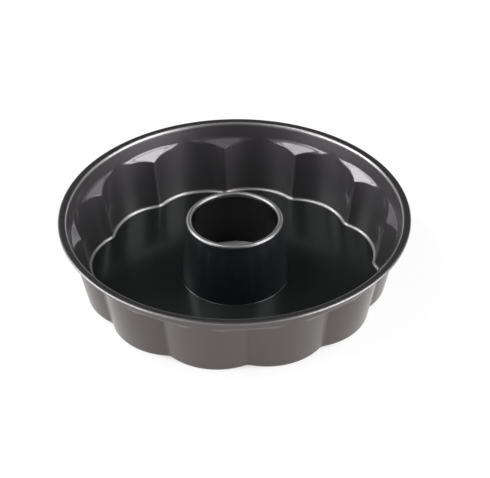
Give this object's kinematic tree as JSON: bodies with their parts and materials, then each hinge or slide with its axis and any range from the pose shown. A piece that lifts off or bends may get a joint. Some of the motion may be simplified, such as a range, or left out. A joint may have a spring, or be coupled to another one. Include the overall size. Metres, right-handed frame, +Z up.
{
  "type": "fluted ring cake pan",
  "caption": "Round fluted baking pan with a drawn sheet body, a rolled rim and a tapered open tube rising from the middle of the floor.",
  "frame": {"origin": "on the table, under the middle of the pan", "axes": "+Z up along the tube's axis; a ridge between two flutes lies on each of +X, +Y, -X and -Y"},
  "size_m": [0.26, 0.26, 0.058],
  "materials": {
    "coated_steel_body": "semi-gloss non-stick coating on carbon steel sheet",
    "coated_steel_tube": "semi-gloss non-stick coating on carbon steel sheet"
  },
  "bodies": {
    "root": {"pan_body": "coated_steel_body", "center_tube": "coated_steel_tube"}
  },
  "joints": []
}
